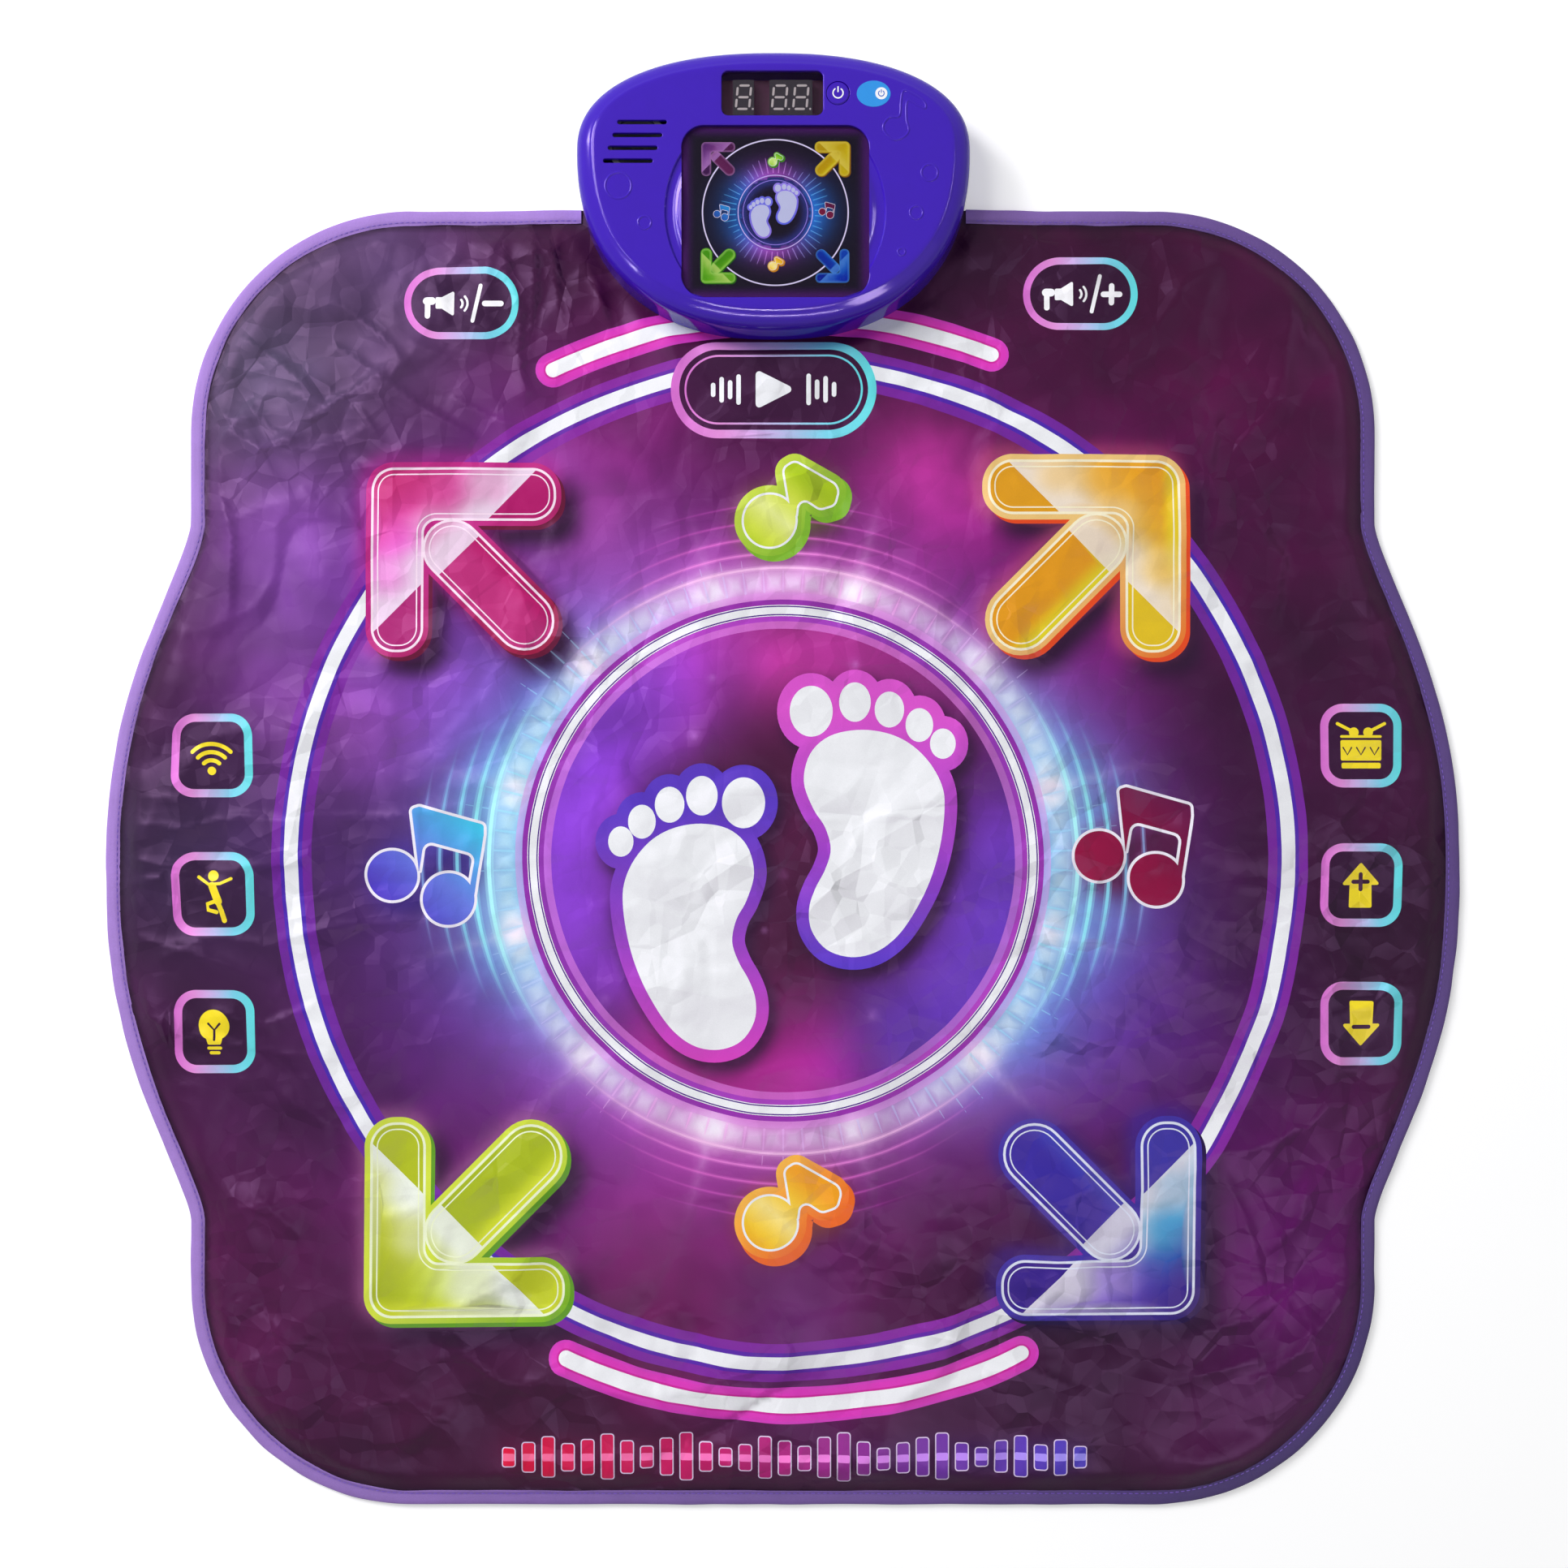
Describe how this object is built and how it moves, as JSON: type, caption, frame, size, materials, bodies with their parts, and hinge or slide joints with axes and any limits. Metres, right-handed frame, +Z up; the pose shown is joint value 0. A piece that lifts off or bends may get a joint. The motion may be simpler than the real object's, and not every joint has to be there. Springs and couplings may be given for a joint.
{
  "type": "electronic dance mat",
  "caption": "Thin padded play mat with printed touch zones, a bound edge and a glossy control housing with light panel, display and speaker.",
  "frame": {"origin": "on the floor under the middle of the whole object's bounding box", "axes": "+Y towards the control housing at the rear, +X to the right of a player who stands on the mat and faces the housing, +Z up"},
  "size_m": [0.837, 0.8875, 0.0384],
  "materials": {
    "cloth_printed": "printed coated cloth, satin",
    "arrow_magenta": "printed coated cloth, satin",
    "arrow_amber": "printed coated cloth, satin",
    "arrow_lime": "printed coated cloth, satin",
    "arrow_blue": "printed coated cloth, satin",
    "cloth_back": "woven backing, matte",
    "binding_cloth": "woven tape, satin",
    "padding": "foam, matte",
    "film": "clear film",
    "housing_plastic": "high gloss",
    "window_plastic": "high gloss, dark tint",
    "digit_plastic": "satin",
    "panel_plastic": "high gloss, dark tint",
    "panel_print": "printed film",
    "board_green": "solder mask",
    "dark_plastic": "matte",
    "white_plastic": "matte",
    "rubber": "matte",
    "steel": "plated",
    "cone_paper": "matte",
    "cell_wrap": "satin"
  },
  "bodies": {
    "root": {"mat_base_fabric": "cloth_back", "mat_padding_foam": "padding", "mat_contact_film": "film", "mat_spacer_foam": "padding", "mat_cover": "cloth_printed", "mat_edge_binding": "binding_cloth", "housing_upper_shell": "housing_plastic", "housing_lower_shell": "housing_plastic", "display_window": "window_plastic", "level_digit_module": "digit_plastic", "score_digit_module": "digit_plastic", "display_board": "board_green", "panel_light_board": "board_green", "main_circuit_board": "board_green", "power_switch": "dark_plastic", "panel_lens": "panel_plastic", "panel_print_sheet": "panel_print", "panel_light_frame": "white_plastic", "film_connector": "white_plastic", "speaker_frame": "steel", "speaker_magnet": "steel", "battery_contacts_front": "steel", "battery_contacts_rear": "steel", "panel_light_1": "white_plastic", "battery_cell_1": "cell_wrap", "panel_light_2": "white_plastic", "battery_cell_2": "cell_wrap", "panel_light_3": "white_plastic", "battery_cell_3": "cell_wrap", "panel_light_4": "white_plastic", "battery_cell_4": "cell_wrap", "housing_foot_rear_left": "rubber", "housing_screw_rear_left": "steel", "housing_foot_rear_right": "rubber", "housing_screw_rear_right": "steel", "housing_foot_front_left": "rubber", "housing_screw_front_left": "steel", "housing_foot_front_right": "rubber", "housing_screw_front_right": "steel"},
    "touch_arrow_rear_left": {"zone_arrow_rear_left": "arrow_magenta"},
    "touch_arrow_rear_right": {"zone_arrow_rear_right": "arrow_amber"},
    "touch_arrow_front_left": {"zone_arrow_front_left": "arrow_lime"},
    "touch_arrow_front_right": {"zone_arrow_front_right": "arrow_blue"},
    "touch_note_rear": {"zone_note_rear": "cloth_printed"},
    "touch_note_front": {"zone_note_front": "cloth_printed"},
    "touch_note_left": {"zone_note_left": "cloth_printed"},
    "touch_note_right": {"zone_note_right": "cloth_printed"},
    "touch_start": {"zone_start": "cloth_printed"},
    "touch_volume_down": {"zone_volume_down": "cloth_printed"},
    "touch_volume_up": {"zone_volume_up": "cloth_printed"},
    "touch_mode_left_1": {"zone_mode_left_1": "cloth_printed"},
    "touch_mode_left_2": {"zone_mode_left_2": "cloth_printed"},
    "touch_mode_left_3": {"zone_mode_left_3": "cloth_printed"},
    "touch_mode_right_1": {"zone_mode_right_1": "cloth_printed"},
    "touch_mode_right_2": {"zone_mode_right_2": "cloth_printed"},
    "touch_mode_right_3": {"zone_mode_right_3": "cloth_printed"},
    "power_button": {"power_button_cap": "housing_plastic"},
    "speaker_diaphragm": {"speaker_cone": "cone_paper"},
    "battery_cover": {"battery_door": "housing_plastic", "battery_door_screw": "steel"}
  },
  "joints": [
    {"name": "press_arrow_rear_left", "type": "slide", "parent": "root", "child": "touch_arrow_rear_left", "axis": [0, 0, -1], "range_m": [0, 0.0015], "stiffness_N_per_m": 600, "springref_m": -0.0008},
    {"name": "press_arrow_rear_right", "type": "slide", "parent": "root", "child": "touch_arrow_rear_right", "axis": [0, 0, -1], "range_m": [0, 0.0015], "stiffness_N_per_m": 600, "springref_m": -0.0008},
    {"name": "press_arrow_front_left", "type": "slide", "parent": "root", "child": "touch_arrow_front_left", "axis": [0, 0, -1], "range_m": [0, 0.0015], "stiffness_N_per_m": 600, "springref_m": -0.0008},
    {"name": "press_arrow_front_right", "type": "slide", "parent": "root", "child": "touch_arrow_front_right", "axis": [0, 0, -1], "range_m": [0, 0.0015], "stiffness_N_per_m": 600, "springref_m": -0.0008},
    {"name": "press_note_rear", "type": "slide", "parent": "root", "child": "touch_note_rear", "axis": [0, 0, -1], "range_m": [0, 0.0015], "stiffness_N_per_m": 600, "springref_m": -0.0008},
    {"name": "press_note_front", "type": "slide", "parent": "root", "child": "touch_note_front", "axis": [0, 0, -1], "range_m": [0, 0.0015], "stiffness_N_per_m": 600, "springref_m": -0.0008},
    {"name": "press_note_left", "type": "slide", "parent": "root", "child": "touch_note_left", "axis": [0, 0, -1], "range_m": [0, 0.0015], "stiffness_N_per_m": 600, "springref_m": -0.0008},
    {"name": "press_note_right", "type": "slide", "parent": "root", "child": "touch_note_right", "axis": [0, 0, -1], "range_m": [0, 0.0015], "stiffness_N_per_m": 600, "springref_m": -0.0008},
    {"name": "press_start", "type": "slide", "parent": "root", "child": "touch_start", "axis": [0, 0, -1], "range_m": [0, 0.0015], "stiffness_N_per_m": 600, "springref_m": -0.0008},
    {"name": "press_volume_down", "type": "slide", "parent": "root", "child": "touch_volume_down", "axis": [0, 0, -1], "range_m": [0, 0.0015], "stiffness_N_per_m": 600, "springref_m": -0.0008},
    {"name": "press_volume_up", "type": "slide", "parent": "root", "child": "touch_volume_up", "axis": [0, 0, -1], "range_m": [0, 0.0015], "stiffness_N_per_m": 600, "springref_m": -0.0008},
    {"name": "press_mode_left_1", "type": "slide", "parent": "root", "child": "touch_mode_left_1", "axis": [0, 0, -1], "range_m": [0, 0.0015], "stiffness_N_per_m": 600, "springref_m": -0.0008},
    {"name": "press_mode_left_2", "type": "slide", "parent": "root", "child": "touch_mode_left_2", "axis": [0, 0, -1], "range_m": [0, 0.0015], "stiffness_N_per_m": 600, "springref_m": -0.0008},
    {"name": "press_mode_left_3", "type": "slide", "parent": "root", "child": "touch_mode_left_3", "axis": [0, 0, -1], "range_m": [0, 0.0015], "stiffness_N_per_m": 600, "springref_m": -0.0008},
    {"name": "press_mode_right_1", "type": "slide", "parent": "root", "child": "touch_mode_right_1", "axis": [0, 0, -1], "range_m": [0, 0.0015], "stiffness_N_per_m": 600, "springref_m": -0.0008},
    {"name": "press_mode_right_2", "type": "slide", "parent": "root", "child": "touch_mode_right_2", "axis": [0, 0, -1], "range_m": [0, 0.0015], "stiffness_N_per_m": 600, "springref_m": -0.0008},
    {"name": "press_mode_right_3", "type": "slide", "parent": "root", "child": "touch_mode_right_3", "axis": [0, 0, -1], "range_m": [0, 0.0015], "stiffness_N_per_m": 600, "springref_m": -0.0008},
    {"name": "press_power", "type": "slide", "parent": "root", "child": "power_button", "axis": [0, 0, -1], "range_m": [0, 0.001], "stiffness_N_per_m": 800, "springref_m": -0.0005},
    {"name": "speaker_cone_stroke", "type": "slide", "parent": "root", "child": "speaker_diaphragm", "axis": [0, 0, 1], "range_m": [-0.0004, 0.0004], "stiffness_N_per_m": 1500},
    {"name": "battery_door_hinge", "type": "hinge", "parent": "root", "child": "battery_cover", "pos_m": [-0.00565, 0.3591, 0.0008], "axis": [-1, 0, 0], "range_deg": [0, 95]}
  ]
}
